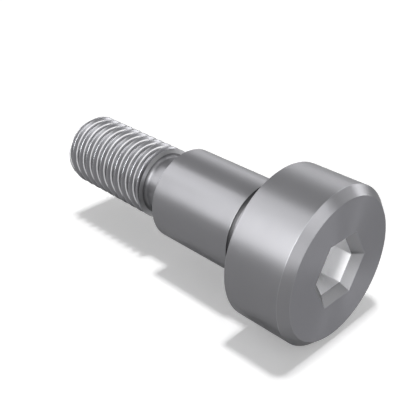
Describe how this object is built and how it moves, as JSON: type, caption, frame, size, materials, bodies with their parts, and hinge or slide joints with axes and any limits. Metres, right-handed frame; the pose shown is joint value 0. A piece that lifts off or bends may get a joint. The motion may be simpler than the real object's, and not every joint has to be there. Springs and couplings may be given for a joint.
{
  "type": "shoulder bolt",
  "caption": "Hexagon socket shoulder bolt: a plain round head and a ground shoulder above a narrower right-hand thread, for use as a pivot or a guide.",
  "frame": {"origin": "centre of the flat face at the threaded tip, on which the bolt stands", "axes": "+Z along the bolt's axis from the tip to the head, +X through a corner of the hexagon socket"},
  "size_m": [0.016, 0.016, 0.036],
  "materials": {
    "steel": "turned head and neck, ground shoulder, rolled thread; plain uncoated steel"
  },
  "bodies": {
    "root": {"shoulder_bolt": "steel"}
  },
  "joints": []
}
